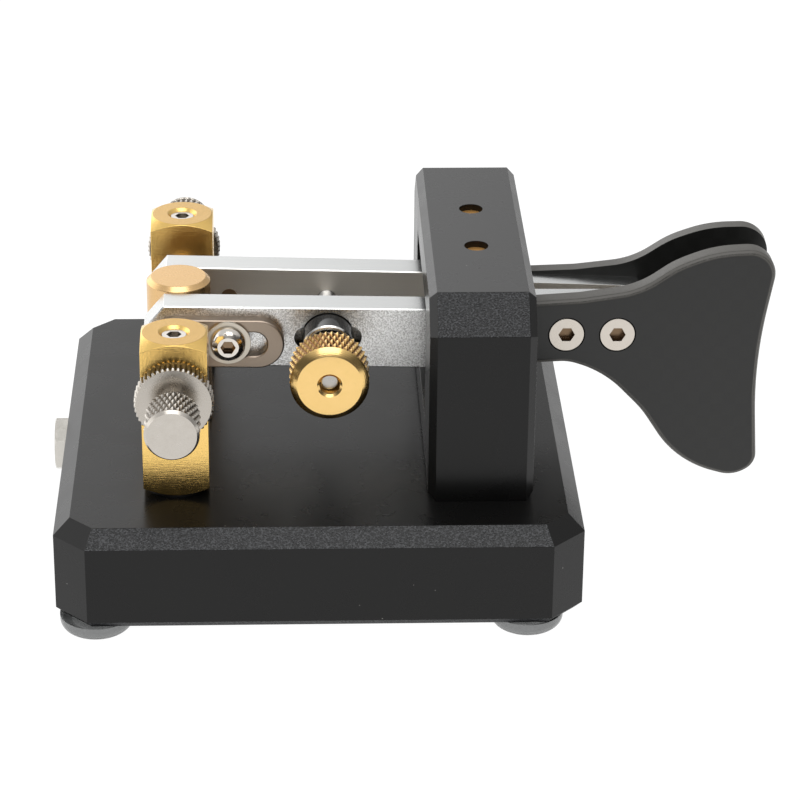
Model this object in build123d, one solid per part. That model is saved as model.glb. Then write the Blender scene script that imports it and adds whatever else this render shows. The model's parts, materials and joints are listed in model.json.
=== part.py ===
from build123d import *
import math
import os

# Dual-lever morse key. Millimetres, +Z up, fingers at +X, contacts at -X, levers side by side in Y.
# Everything is drawn with X = 0 at the middle of the base and Z = 0 on the desk. The parts are moved
# along X as they are saved, which puts the origin under the middle of the whole key.
# The front half (negative Y) is drawn, and the rear half is its mirror image.

# Base and feet
base_size = 80.0
base_thickness = 16.2
base_corner_cut = 5.0
base_top_chamfer = 2.5
base_bottom_bevel = 1.4
foot_radius = 5.6
foot_height = 2.5
foot_edge_round = 1.8
foot_x_left = -33.9
foot_x_right = 31.6
foot_y = 34.0

# Bridge that carries the lever pivots
bridge_x = 24.5
bridge_length = 60.0
bridge_width = 16.0
bridge_height = 32.5
bridge_beam = 7.0
bridge_opening = 31.0
bridge_shoulder_cut = 5.1
bridge_edge_bevel = 1.15
bridge_screw_y = 23.0

# Levers: one pivot each, and their finger ends run together and slightly down. The contact bars are
# bent back towards straight behind the bridge.
pivot_y = 7.4
pivot_height = 17.65
splay_deg = 2.0
bar_splay_deg = 0.5
droop_deg = 1.35
lever_height = 10.0
bar_thickness = 5.0
bar_end_x = -26.8
bar_end_cut_x = 3.0
bar_end_cut_z = 3.8
block_half_length = 6.5
block_outer = 5.2
tongue_inner = 5.87
tongue_outer = 2.44
tongue_end = 26.6
lever_edge_bevel = 0.2
dimple_depth = 1.4
pivot_gap = 0.06

# Posts, contacts and their screws
post_x = -21.6
post_y = 23.0
post_size = 10.0
post_top = 25.5
post_cone_radius = 4.8
post_cone_drop = 1.3
post_screw_mouth = 0.5
post_screw_depth = 0.45
rest_post_radius = 5.0
rest_post_top = 24.5
rest_gap = 0.02
contact_height = 17.0
contact_gap = 0.42
contact_screw_radius = 1.97
contact_screw_face = 41.15
contact_head_radius = 4.15
contact_head_length = 7.95
lock_nut_radius = 5.95
lock_nut_thickness = 2.7
insulator_thickness = 0.3

# Slotted contact plates on the outsides of the levers
plate_length = 20.5
plate_height = 8.0
plate_thickness = 2.0
plate_centre_x = -15.4
plate_drop = 0.42
plate_slot_width = 4.0
plate_slot_start_x = -17.0
plate_slot_end_x = -7.8
plate_screw_x = -13.8

# Finger plates
finger_thickness = 3.0
finger_edge_round = 0.9
finger_screw_first = 14.4
finger_screw_pitch = 8.0
finger_screw_head = 2.72
finger_screw_socket = 2.2
finger_screw_ring = 0.2

# Lever tension: stud, knob, spring and cup
tension_x = 1.65
stud_radius = 1.5
knob_radius = 6.05
knob_face_y = -27.0
knob_back_y = -20.0
knob_neck_radius = 2.9
knob_neck_end_y = -16.55
cup_radius = 4.075
cup_mouth_y = -14.3
cup_floor_y = -5.9
pocket_radius = 4.2
spring_wire_radius = 0.28
spring_mean_radius = 2.35
spring_turns = 7

# 3.5 mm socket in the left side of the base
jack_y = 5.45
jack_depth = 7.5
jack_bush_radius = 3.0
jack_bore_radius = 1.8
jack_bush_end_x = -42.0
jack_body_size = 9.0
jack_nut_flats = 8.0
jack_nut_thickness = 2.2
wire_radius = 0.7
lug_reach = 6.0
lug_thickness = 0.5

# Fasteners
thread_gap = 0.03
m3 = 1.5
m4 = 1.97
m4_set = 1.82
m4_set_hole = 1.85

# Worked-out heights and places
deck = foot_height + base_thickness
groove_top = foot_height + 8.0
lever_z = deck + pivot_height
contact_z = deck + contact_height
jack_z = deck - jack_depth
bar_half = lever_height / 2
sin_bar = math.sin(math.radians(bar_splay_deg))
cos_bar = math.cos(math.radians(bar_splay_deg))
tension_z = lever_z + (bridge_x - tension_x) * math.sin(math.radians(droop_deg))

# The bar's inner face just clears the rest post, which fixes where the whole bar stands.
rest_post_offset = pivot_y * cos_bar + (bridge_x - post_x) * sin_bar
bar_inner = rest_post_offset - rest_post_radius - rest_gap
bar_outer = bar_thickness - bar_inner


def rear(shape):
    return mirror(shape, about=Plane.XZ)


def both_sides(shape):
    return Compound(children=[shape, rear(shape)])


def block(x0, x1, y0, y1, z0, z1):
    centre = Pos((x0 + x1) / 2, (y0 + y1) / 2, (z0 + z1) / 2)
    return centre * Box(abs(x1 - x0), abs(y1 - y0), abs(z1 - z0))


def turned(profile):
    """Solid of revolution about Z from (radius, height) corners."""
    face = make_face(Polyline(*[(r, 0, h) for r, h in profile], close=True))
    return revolve(face, Axis.Z, 360)


def turned_z(x, y, profile):
    return Pos(x, y, 0) * turned(profile)


def turned_y(x, z, profile):
    """The profile's heights are Y positions."""
    return Pos(x, 0, z) * Rot(-90, 0, 0) * turned(profile)


def rod_z(x, y, radius, z0, z1):
    return Pos(x, y, (z0 + z1) / 2) * Cylinder(radius, abs(z1 - z0))


def rod_y(x, z, radius, y0, y1):
    return Pos(x, (y0 + y1) / 2, z) * Rot(90, 0, 0) * Cylinder(radius, abs(y1 - y0))


def rod_x(y, z, radius, x0, x1):
    return Pos((x0 + x1) / 2, y, z) * Rot(0, 90, 0) * Cylinder(radius, abs(x1 - x0))


def hexagon(flats):
    return RegularPolygon(flats / 2, 6, major_radius=False)


def on_lever(shape, turn=splay_deg):
    """Move a shape drawn about the front lever's pivot to its place on the key."""
    return Pos(bridge_x, -pivot_y, lever_z) * Rot(0, droop_deg, 0) * Rot(0, 0, turn) * shape


def on_bar(shape):
    """The same for a shape drawn along the contact bar."""
    return on_lever(shape, bar_splay_deg)


def bar_x(x):
    """Distance from the pivot along the contact bar of a place X on the key."""
    return (x - bridge_x) / cos_bar


def contact_face_y(x):
    """Y of the front contact plate's outer face at a place X on the key."""
    offset = -(bar_outer + plate_thickness)
    along = (x - bridge_x + offset * sin_bar) / cos_bar
    return -pivot_y + along * sin_bar + offset * cos_bar


# ---------------------------------------------------------------- base and feet


def make_base():
    body = block(-base_size / 2, base_size / 2, -base_size / 2, base_size / 2, foot_height, deck)
    body = chamfer(body.edges().filter_by(Axis.Z), base_corner_cut)
    body = chamfer(body.faces().sort_by(Axis.Z)[-1].edges(), base_top_chamfer)
    body = chamfer(body.faces().sort_by(Axis.Z)[0].edges(), base_bottom_bevel)
    below = foot_height - 1
    for y in (-post_y, post_y):
        body -= rod_z(post_x, y, 3.2, below, deck + 1)
        body -= rod_z(post_x, y, 5.5, below, groove_top)
        body -= block(-33.5, post_x, y - 2.5, y + 2.5, below, groove_top)
    body -= rod_z(post_x, 0, 2.1, below, deck + 1)
    body -= rod_z(post_x, 0, 5.0, below, groove_top)
    for y in (-bridge_screw_y, bridge_screw_y):
        body -= rod_z(bridge_x, y, 2.1, below, deck + 1)
        body -= rod_z(bridge_x, y, 4.2, below, deck - 9.0)
    # wire grooves, the socket's pocket and its hole through the left wall
    body -= block(-33.5, -28.5, -25.5, 25.5, below, groove_top)
    body -= block(-27.5, post_x + 3, jack_y - 2.5, jack_y + 2.5, below, groove_top)
    pocket_half = jack_body_size / 2 + 0.5
    body -= block(-36.0, -26.5, jack_y - pocket_half, jack_y + pocket_half, below, jack_z + 5.0)
    body -= rod_x(jack_y, jack_z, jack_bush_radius + thread_gap, -41, -35.9)
    return body


def make_feet():
    foot = Pos(0, 0, foot_height / 2) * Cylinder(foot_radius, foot_height)
    foot = fillet(foot.edges().sort_by(Axis.Z)[0], foot_edge_round)
    places = [(x, y) for x in (foot_x_left, foot_x_right) for y in (-foot_y, foot_y)]
    return Compound(children=[Pos(x, y, 0) * foot for x, y in places])


# ---------------------------------------------------------------- bridge and pivots


def make_bridge():
    half_x = bridge_width / 2
    half_y = bridge_length / 2
    top = deck + bridge_height
    body = block(bridge_x - half_x, bridge_x + half_x, -half_y, half_y, deck, top)
    shoulders = body.edges().filter_by(Axis.X).group_by(Axis.Z)[-1]
    body = chamfer(shoulders, bridge_shoulder_cut)
    sides = body.faces().sort_by(Axis.X)
    body = chamfer(sides[0].edges() + sides[-1].edges(), bridge_edge_bevel)
    opening = block(0, 50, -bridge_opening / 2, bridge_opening / 2, deck + bridge_beam, top - bridge_beam)
    body -= opening
    for y in (-pivot_y, pivot_y):
        body -= rod_z(bridge_x, y, m4_set_hole, deck - 1, top + 1)
    for y in (-bridge_screw_y, bridge_screw_y):
        body -= rod_z(bridge_x, y, m4 + thread_gap, deck - 1, deck + 12)
    return body


def make_bridge_screw():
    head_low = deck - 13.0
    head_top = deck - 9.0
    screw = rod_z(bridge_x, -bridge_screw_y, 3.5, head_low, head_top)
    screw += rod_z(bridge_x, -bridge_screw_y, m4, head_top, deck + 11)
    socket = Pos(bridge_x, -bridge_screw_y, head_low) * extrude(hexagon(3.0), 2.2)
    return screw - socket


def pivot_profile(apex, direction, thread_start, thread_end):
    """Cone-pointed pivot from its apex outwards; direction is +1 for the upper one."""
    nose = 1.2
    return [
        (0, apex),
        (nose, apex + direction * nose),
        (nose, thread_start),
        (m4_set, thread_start + direction * (m4_set - nose)),
        (m4_set, thread_end),
        (0, thread_end),
    ]


def make_upper_pivot():
    apex = lever_z + bar_half - dimple_depth + pivot_gap
    thread_start = deck + bridge_height - bridge_beam - 0.6
    thread_end = deck + bridge_height - 1.0
    screw = turned_z(bridge_x, -pivot_y, pivot_profile(apex, 1, thread_start, thread_end))
    slot = block(bridge_x - 3, bridge_x + 3, -0.35, 0.35, thread_end - 0.9, thread_end + 1)
    return screw - Pos(0, -pivot_y, 0) * slot


def make_lower_pivot():
    apex = lever_z - bar_half + dimple_depth - pivot_gap
    thread_start = deck + bridge_beam + 0.6
    thread_end = deck + 0.5
    screw = turned_z(bridge_x, -pivot_y, pivot_profile(apex, -1, thread_start, thread_end))
    slot = block(bridge_x - 3, bridge_x + 3, -0.35, 0.35, thread_end - 1, thread_end + 0.9)
    return screw - Pos(0, -pivot_y, 0) * slot


# ---------------------------------------------------------------- levers


def make_contact_bar():
    """Flat bar from the pivot to its tapered end, drawn about the pivot, with the plate screw's hole."""
    left = bar_x(bar_end_x)
    sloped = left + bar_end_cut_x
    end_half = bar_half - bar_end_cut_z
    outline = Polygon((0, -bar_half), (0, bar_half), (sloped, bar_half), (left, end_half),
                      (left, -end_half), (sloped, -bar_half), align=None)
    bar = Pos(0, bar_inner, 0) * Rot(90, 0, 0) * extrude(outline, bar_thickness)
    faces = bar.faces().sort_by(Axis.Y)
    bar = chamfer(faces[0].edges() + faces[-1].edges(), lever_edge_bevel)
    return bar - rod_y(bar_x(plate_screw_x), 0, m3 + thread_gap, -bar_outer - 1, bar_inner + 1)


def make_finger_arm():
    """Pivot block and finger tongue in one piece, drawn about the pivot, with the finger screws' holes."""
    tongue = block(0, tongue_end, tongue_outer, tongue_inner, -bar_half, bar_half)
    tongue = fillet(tongue.edges().filter_by(Axis.Z).group_by(Axis.X)[-1], 1.0)
    length = block_half_length
    arm = tongue + block(-length, length, -block_outer, tongue_inner, -bar_half, bar_half)
    for hole_x in (finger_screw_first, finger_screw_first + finger_screw_pitch):
        arm -= rod_y(hole_x, 0, m3 + thread_gap, 0, tongue_inner + 1)
    return arm


def make_front_lever():
    lever = on_bar(make_contact_bar()) + on_lever(make_finger_arm())
    for direction in (-1, 1):
        surface = lever_z + direction * bar_half
        apex = surface - direction * dimple_depth
        wide = dimple_depth + 0.3
        cone = [(0, apex), (wide, apex + direction * wide), (0, apex + direction * wide)]
        lever -= turned_z(bridge_x, -pivot_y, cone)
    return lever


def cut_tension_pocket(lever):
    """Round pocket with two side ears for the spring cup, and the stud's clearance hole."""
    lever -= rod_y(tension_x, tension_z, pocket_radius, -15, cup_floor_y)
    ears = Pos(tension_x, -6.3, tension_z) * Rot(90, 0, 0) * extrude(SlotOverall(10.4, 3.7), 8)
    lever -= ears
    lever -= rod_y(tension_x, tension_z, stud_radius + 0.4, -8, 0)
    return lever


def cut_stud_hole(lever):
    return lever - rod_y(tension_x, tension_z, stud_radius + thread_gap, 0, 8.3)


def make_contact_plate():
    centre = bar_x(plate_centre_x)
    slot_start = bar_x(plate_slot_start_x)
    slot_end = bar_x(plate_slot_end_x)
    outline = Pos(centre, 0) * SlotOverall(plate_length, plate_height)
    slot = Pos((slot_start + slot_end) / 2, 0) * SlotOverall(slot_end - slot_start, plate_slot_width)
    plate = extrude(outline - slot, plate_thickness)
    plate = chamfer(plate.faces().sort_by(Axis.Z)[-1].edges(), 0.2)
    return on_bar(Pos(0, -bar_outer, -plate_drop) * Rot(90, 0, 0) * plate)


def make_plate_washer():
    seat = -(bar_outer + plate_thickness)
    washer = rod_y(bar_x(plate_screw_x), 0, 3.5, seat, seat - 0.5)
    washer -= rod_y(bar_x(plate_screw_x), 0, 1.65, seat + 1, seat - 1)
    return on_bar(washer)


def make_plate_screw():
    seat = bar_outer + plate_thickness + 0.5
    head = [
        (0, seat + 1.65), (1.65, seat + 1.65), (2.3, seat + 1.25), (2.68, seat + 0.6),
        (2.75, seat), (m3, seat), (m3, -bar_inner + 0.2), (0, -bar_inner + 0.2),
    ]
    screw = turned([(r, -h) for r, h in head])
    socket = Pos(0, 0, -seat - 1.65) * extrude(hexagon(2.0), 1.1)
    return on_bar(Pos(bar_x(plate_screw_x), 0, 0) * Rot(-90, 0, 0) * (screw - socket))


def finger_outline():
    """Blade outline about the pivot: each corner is (x, z, rounding radius)."""
    corners = [
        (7.0, 5.3, 0), (16.5, 6.0, 10.0), (25.5, 7.4, 13.0), (31.1, 11.5, 15.4), (37.1, 13.9, 19.6),
        (47.4, 14.5, 4.3), (44.6, -4.7, 78.0), (46.3, -22.9, 3.1), (42.7, -25.2, 5.0), (33.4, -22.6, 16.7),
        (27.2, -13.3, 17.2), (20.6, -6.6, 17.5), (14.9, -4.8, 7.0), (7.0, -5.2, 0),
    ]
    face = make_face(Polyline(*[(x, z) for x, z, _ in corners], close=True))
    for x, z, radius in corners:
        if radius:
            corner = face.vertices().sort_by_distance((x, z, 0))[0]
            face = fillet(corner, radius)
    return face


def make_finger_plate():
    plate = extrude(Plane.XZ * finger_outline(), finger_thickness)
    plate = Pos(0, tongue_outer - plate.bounding_box().max.Y, 0) * plate
    outer = plate.faces().sort_by(Axis.Y)[0]
    plate = fillet(outer.edges(), finger_edge_round)
    face_y = tongue_outer - finger_thickness
    for hole_x in (finger_screw_first, finger_screw_first + finger_screw_pitch):
        head = finger_screw_head + finger_screw_ring
        sink = [(0, face_y - 1), (head, face_y - 1), (head, face_y + 0.1), (m3, face_y + 1.5),
                (m3 + thread_gap, face_y + 1.5), (m3 + thread_gap, tongue_outer + 1), (0, tongue_outer + 1)]
        plate -= turned_y(hole_x, 0, sink)
    return on_lever(plate)


def make_finger_screws():
    face_y = tongue_outer - finger_thickness
    screws = []
    for hole_x in (finger_screw_first, finger_screw_first + finger_screw_pitch):
        profile = [(0, face_y), (finger_screw_head, face_y), (finger_screw_head, face_y + 0.15),
                   (m3 - 0.05, face_y + 1.5), (m3 - 0.05, tongue_inner - 0.1), (0, tongue_inner - 0.1)]
        screw = turned_y(hole_x, 0, profile)
        socket = Pos(hole_x, face_y, 0) * Rot(-90, 0, 0) * extrude(hexagon(finger_screw_socket), 1.2)
        screws.append(on_lever(screw - socket))
    return screws


# ---------------------------------------------------------------- posts and contacts


def make_contact_post():
    low = deck + insulator_thickness
    top = deck + post_top
    half = post_size / 2
    bar = block(post_x - half, post_x + half, -post_y - half, -post_y + half, low, top)
    wide = 7.3
    drop = (wide - post_cone_radius) * post_cone_drop / (half * math.sqrt(2) - post_cone_radius)
    cones = [(0, low), (post_cone_radius, low), (wide, low + drop), (wide, top - drop),
             (post_cone_radius, top), (0, top)]
    post = bar & turned_z(post_x, -post_y, cones)
    post -= rod_y(post_x, contact_z, m4 + thread_gap, -post_y - half - 1, -post_y + half + 1)
    post -= rod_z(post_x, -post_y, m4_set_hole, contact_z, top + 1)
    mouth = m4_set_hole + post_screw_mouth
    post -= turned_z(post_x, -post_y, [(0, top - mouth), (mouth, top), (mouth, top + 1), (0, top + 1)])
    post -= rod_z(post_x, -post_y, m4 + thread_gap, low - 1, deck + 10)
    return post


def make_post_set_screw():
    top = deck + post_top - post_screw_depth
    screw = rod_z(post_x, -post_y, m4_set, contact_z + m4 + thread_gap + 0.02, top)
    socket = Pos(post_x, -post_y, top - 1.6) * extrude(hexagon(2.0), 2)
    return screw - socket


def make_post_insulator():
    disc = rod_z(post_x, -post_y, post_cone_radius + 0.1, deck, deck + insulator_thickness)
    return disc - rod_z(post_x, -post_y, 2.1, deck - 1, deck + 1)


def make_shoulder_bush():
    bush = rod_z(post_x, -post_y, 5.0, groove_top - 1.0, groove_top)
    bush += rod_z(post_x, -post_y, 3.15, groove_top - 1.0, deck)
    return bush - rod_z(post_x, -post_y, 2.05, groove_top - 2, deck + 1)


def make_mounting_screw(y, seat):
    """Slotted pan-head screw from under the base into a post."""
    head = turned_z(post_x, y, [(0, seat - 2.5), (3.0, seat - 2.5), (3.5, seat - 1.8), (3.5, seat), (0, seat)])
    screw = head + rod_z(post_x, y, m4, seat - 0.5, deck + 9.3)
    slot = Pos(post_x, y, seat - 2.5) * Box(8, 0.8, 1.6)
    return screw - slot


def make_solder_lug(y, top, turn):
    """Ring tag whose tail points along +X turned by the given angle."""
    tail_start = 3.2
    ring = Circle(3.8) + Pos((tail_start + lug_reach) / 2, 0) * Rectangle(lug_reach - tail_start, 1.8)
    ring -= Circle(2.1)
    return Pos(post_x, y, top - lug_thickness) * Rot(0, 0, turn) * extrude(ring, lug_thickness)


def make_rest_post():
    radius = rest_post_radius
    top = deck + rest_post_top
    profile = [(0, deck), (radius - 0.3, deck), (radius, deck + 0.3), (radius, top - 0.7),
               (radius - 0.7, top), (0, top)]
    return turned_z(post_x, 0, profile) - rod_z(post_x, 0, m4 + thread_gap, deck - 1, deck + 10)


def make_contact_screw(tip_y):
    """Knurled thumbscrew; its head is outside and its inner end is bored for the contact tip."""
    face = -contact_screw_face
    back = face + contact_head_length
    bevel = 0.75
    radius = contact_screw_radius
    neck = 3.0
    profile = [
        (0, face), (contact_head_radius - 0.45, face), (contact_head_radius, face + bevel),
        (contact_head_radius, back - 1.2), (neck, back), (radius, back),
        (radius, tip_y - 1.22), (0, tip_y - 1.22),
    ]
    return turned_y(post_x, contact_z, profile) - rod_y(post_x, contact_z, 0.74, tip_y - 4.2, tip_y)


def make_contact_tip(tip_y):
    """Silver contact with a stem that turns in the end of the thumbscrew."""
    profile = [(0, tip_y), (1.1, tip_y), (1.3, tip_y - 0.2), (1.3, tip_y - 1.2), (0.7, tip_y - 1.2),
               (0.7, tip_y - 4.1), (0, tip_y - 4.1)]
    return turned_y(post_x, contact_z, profile)


def make_lock_nut():
    face = -post_y - post_size / 2
    outer = face - lock_nut_thickness
    bevel = 0.25
    radius = lock_nut_radius
    profile = [
        (contact_screw_radius + thread_gap, outer), (radius - bevel, outer), (radius, outer + bevel),
        (radius, face - bevel), (radius - bevel, face), (contact_screw_radius + thread_gap, face),
    ]
    return turned_y(post_x, contact_z, profile)


# ---------------------------------------------------------------- lever tension


def make_tension_stud():
    bevel = 0.3
    end = knob_face_y + 1.4
    profile = [(0, end), (stud_radius - bevel, end), (stud_radius, end + bevel), (stud_radius, 8.2), (0, 8.2)]
    return turned_y(tension_x, tension_z, profile)


def make_tension_knob():
    bore = stud_radius + thread_gap
    profile = [
        (bore + 0.3, knob_face_y), (4.88, knob_face_y), (knob_radius, knob_face_y + 1.1),
        (knob_radius, knob_back_y - 0.3), (knob_radius - 0.3, knob_back_y), (knob_neck_radius, knob_back_y),
        (knob_neck_radius, knob_neck_end_y), (bore, knob_neck_end_y), (bore, knob_face_y + 0.3),
    ]
    return turned_y(tension_x, tension_z, profile)


def make_spring_washer():
    seat = knob_neck_end_y + 0.02
    profile = [(stud_radius + 0.05, seat), (3.0, seat), (3.0, seat + 0.5), (stud_radius + 0.05, seat + 0.5)]
    return turned_y(tension_x, tension_z, profile)


def make_spring_cup():
    inner = cup_radius - 0.75
    floor = cup_floor_y - 1.0
    bevel = 0.25
    profile = [
        (stud_radius + 0.4, cup_floor_y), (cup_radius, cup_floor_y), (cup_radius, cup_mouth_y + bevel),
        (cup_radius - bevel, cup_mouth_y), (inner + 0.1, cup_mouth_y), (inner, cup_mouth_y + 0.1),
        (inner, floor), (stud_radius + 0.4, floor),
    ]
    return turned_y(tension_x, tension_z, profile)


def make_spring():
    start = knob_neck_end_y + 0.55 + spring_wire_radius
    end = cup_floor_y - 1.03 - spring_wire_radius
    length = end - start
    path = Helix(pitch=length / spring_turns, height=length, radius=spring_mean_radius)
    section = Plane(origin=path @ 0, z_dir=path % 0) * Circle(spring_wire_radius)
    coil = sweep(section, path, is_frenet=True)
    return Pos(tension_x, start, tension_z) * Rot(-90, 0, 0) * coil


# ---------------------------------------------------------------- socket and wiring


def make_jack_body():
    half = jack_body_size / 2
    body = block(-36.0, -27.0, jack_y - half, jack_y + half, jack_z - 4.0, jack_z + 4.0)
    body += rod_x(jack_y, jack_z, jack_bush_radius, jack_bush_end_x, -35)
    return body - rod_x(jack_y, jack_z, jack_bore_radius, jack_bush_end_x - 1, -28.4)


def make_jack_nut():
    outer = -base_size / 2 - jack_nut_thickness
    nut = Pos(outer, jack_y, jack_z) * Rot(0, 90, 0) * extrude(hexagon(jack_nut_flats), jack_nut_thickness)
    cone = Pos(-base_size / 2, jack_y, jack_z) * Rot(0, -90, 0) * turned(
        [(0, 0), (5.2, 0), (5.2, jack_nut_thickness - 0.6), (4.1, jack_nut_thickness), (0, jack_nut_thickness)])
    return (nut & cone) - rod_x(jack_y, jack_z, jack_bush_radius + thread_gap, -45, -39)


def make_jack_tags():
    """Solder tags on the front, rear and inner sides of the socket."""
    half = jack_body_size / 2
    thickness = 0.5
    z0 = jack_z - 2.6
    z1 = jack_z - 2.6 + thickness
    front = block(-31.8, -30.2, jack_y - half - 2.0, jack_y - half, z0, z1)
    back = block(-31.8, -30.2, jack_y + half, jack_y + half + 2.0, z0, z1)
    inner = block(-27.0, -25.2, jack_y - 0.8, jack_y + 0.8, z0, z1)
    return [front, back, inner]


def make_wire(points, radii):
    route = FilletPolyline(*points, radius=radii)
    section = Plane(origin=route @ 0, z_dir=route % 0) * Circle(wire_radius)
    return sweep(section, route)


def make_side_wire(side):
    """Lead from the socket's side tag along the groove to a contact post's tag."""
    start_y = jack_y + side * (jack_body_size / 2 + 2.0)
    z = jack_z - 2.35
    lug_z = groove_top - 1.25
    points = [(-31.0, start_y, z), (-31.0, side * 19.0, z), (-31.0, side * post_y, lug_z),
              (post_x - lug_reach, side * post_y, lug_z)]
    return make_wire(points, [2.0, 2.5])


def make_common_wire():
    """Short lead from the socket's inner tag to the rest post's tag."""
    z = jack_z - 2.35
    lug_z = groove_top - lug_thickness - wire_radius
    points = [(-25.2, jack_y, z), (-23.9, jack_y, z), (-22.9, jack_y, lug_z), (post_x + 0.4, jack_y, lug_z)]
    return make_wire(points, [0.9, 0.9])


def make_parts():
    tip_y = contact_face_y(post_x) - contact_gap
    parts = {
        "base": make_base(),
        "rubber_feet": make_feet(),
        "bridge": make_bridge(),
        "bridge_screws": both_sides(make_bridge_screw()),
        "upper_pivot_screws": both_sides(make_upper_pivot()),
        "lower_pivot_screws": both_sides(make_lower_pivot()),
    }

    lever = make_front_lever()
    parts["front_lever"] = cut_tension_pocket(lever)
    parts["rear_lever"] = cut_stud_hole(rear(lever))

    pairs = {
        "contact_plate": make_contact_plate(),
        "plate_washer": make_plate_washer(),
        "plate_screw": make_plate_screw(),
        "finger_plate": make_finger_plate(),
        "finger_screws": Compound(children=make_finger_screws()),
        "contact_post": make_contact_post(),
        "contact_screw": make_contact_screw(tip_y),
        "contact_tip": make_contact_tip(tip_y),
        "lock_nut": make_lock_nut(),
    }
    for name, shape in pairs.items():
        parts[f"front_{name}"] = shape
        parts[f"rear_{name}"] = rear(shape)

    post_seat = groove_top - 1.5
    rest_seat = groove_top - 0.5
    parts |= {
        "post_set_screws": both_sides(make_post_set_screw()),
        "post_insulators": both_sides(make_post_insulator()),
        "shoulder_bushes": both_sides(make_shoulder_bush()),
        "rest_post": make_rest_post(),
        "post_mounting_screws": Compound(children=[
            make_mounting_screw(-post_y, post_seat),
            make_mounting_screw(0, rest_seat),
            make_mounting_screw(post_y, post_seat),
        ]),
        "solder_lugs": Compound(children=[
            make_solder_lug(-post_y, post_seat + lug_thickness, 180),
            make_solder_lug(0, rest_seat + lug_thickness, 90),
            make_solder_lug(post_y, post_seat + lug_thickness, 180),
        ]),
        "tension_stud": make_tension_stud(),
        "tension_knob": make_tension_knob(),
        "spring_washer": make_spring_washer(),
        "spring_cup": make_spring_cup(),
        "tension_spring": make_spring(),
        "jack_body": make_jack_body(),
        "jack_nut": make_jack_nut(),
        "jack_tags": Compound(children=make_jack_tags()),
        "front_post_wire": make_side_wire(-1),
        "rear_post_wire": make_side_wire(1),
        "common_wire": make_common_wire(),
    }
    return parts


def main():
    os.makedirs("parts", exist_ok=True)
    parts = make_parts()
    right_end = parts["front_finger_plate"].bounding_box().max.X
    left_end = parts["jack_nut"].bounding_box().min.X
    centre_x = (right_end + left_end) / 2
    for name, shape in parts.items():
        export_step(Pos(-centre_x, 0, 0) * shape, f"parts/{name}.step")
    print(f"base's middle stands {-centre_x:.4f} along X from the origin")
    print(f"pivots at X {bridge_x - centre_x:.4f}, posts at X {post_x - centre_x:.4f}")
    print(f"tension axis at X {tension_x - centre_x:.4f}, Z {tension_z:.4f}; contacts at Z {contact_z:.4f}")


main()
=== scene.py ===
import json
import math

import bmesh
import bpy
import numpy as np
from mathutils import Matrix, Vector


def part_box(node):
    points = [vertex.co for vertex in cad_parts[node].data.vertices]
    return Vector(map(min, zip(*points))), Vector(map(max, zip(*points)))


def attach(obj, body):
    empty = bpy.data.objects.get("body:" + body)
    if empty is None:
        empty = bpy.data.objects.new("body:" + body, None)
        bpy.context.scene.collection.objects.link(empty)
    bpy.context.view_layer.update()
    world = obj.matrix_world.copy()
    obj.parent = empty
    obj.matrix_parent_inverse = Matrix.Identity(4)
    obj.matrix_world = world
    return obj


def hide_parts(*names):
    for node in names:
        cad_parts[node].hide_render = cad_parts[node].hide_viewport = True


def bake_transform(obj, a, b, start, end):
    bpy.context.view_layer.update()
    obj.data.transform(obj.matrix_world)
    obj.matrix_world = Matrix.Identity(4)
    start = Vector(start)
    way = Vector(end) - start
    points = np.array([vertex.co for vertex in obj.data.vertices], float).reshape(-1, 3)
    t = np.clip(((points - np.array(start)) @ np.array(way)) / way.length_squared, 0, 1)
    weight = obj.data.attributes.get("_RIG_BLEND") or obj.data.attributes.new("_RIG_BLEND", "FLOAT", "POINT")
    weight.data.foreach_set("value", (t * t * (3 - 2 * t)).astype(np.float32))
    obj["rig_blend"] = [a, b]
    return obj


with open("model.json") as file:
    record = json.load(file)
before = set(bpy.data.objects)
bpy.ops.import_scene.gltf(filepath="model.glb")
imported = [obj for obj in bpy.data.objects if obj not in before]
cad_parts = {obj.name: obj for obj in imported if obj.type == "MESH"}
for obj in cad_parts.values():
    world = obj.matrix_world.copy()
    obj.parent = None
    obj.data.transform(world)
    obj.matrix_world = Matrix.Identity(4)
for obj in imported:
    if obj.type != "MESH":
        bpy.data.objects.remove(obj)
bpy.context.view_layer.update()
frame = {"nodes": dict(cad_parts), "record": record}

MM = 0.001

# Carbon laminate: width of a tow, thickness of a ply, radius of the painted shade round each screw
TOW_MM = 2.0
PLY_MM = 0.42
HOLE_MM = 3.2

# Screws of the levers, in the levers' own frames: places along X, how far out their heads' faces are,
# and the radius and start depth of the painted shade in their sockets
FINGER_SCREWS_MM = (14.4, 22.4)
FINGER_SCREW_FACE_MM = 0.56
PLATE_SCREW_MM = -38.3
PLATE_SCREW_FACE_MM = 6.37
SOCKET_MM = 1.3
SOCKET_LIP_MM = 0.06

# Facing ranges, as shares of the normal, over which one finish gives way to another
SLOPING = (0.55, 0.66)
UPWARD = (0.9, 0.97)
SIDEWAYS = (0.55, 0.9)
FLAT_ON = (0.93, 0.995)
RIM = (0.3, 0.6)

# The middle of a noise texture's values, where most of its contrast lies
NOISE_MIDDLE = (0.3, 0.7)

# Each knurl's radius and how far out from the key's middle it starts and ends, and the threads' pitches
KNOB_KNURL_MM = (6.05, 20.2, 25.8)
SCREW_KNURL_MM = (4.15, 34.3, 40.4)
NUT_KNURL_MM = (5.95, 28.1, 30.45)
SCREW_PITCH_MM = 0.7
STUD_PITCH_MM = 0.5

BEHAVIOUR = frame["record"]["behaviour"]
BODY_OF = {node: body for body, nodes in BEHAVIOUR["bodies"].items() for node in nodes}
JOINTS = {joint["name"]: joint for joint in BEHAVIOUR["joints"]}

# The levers' own frames: their finger ends run together and slightly down, and the contact bars
# behind the bridge are bent back towards straight.
ARM_SPLAY_DEG = 2.0
BAR_SPLAY_DEG = 0.5
DROOP_DEG = 1.35


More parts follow.
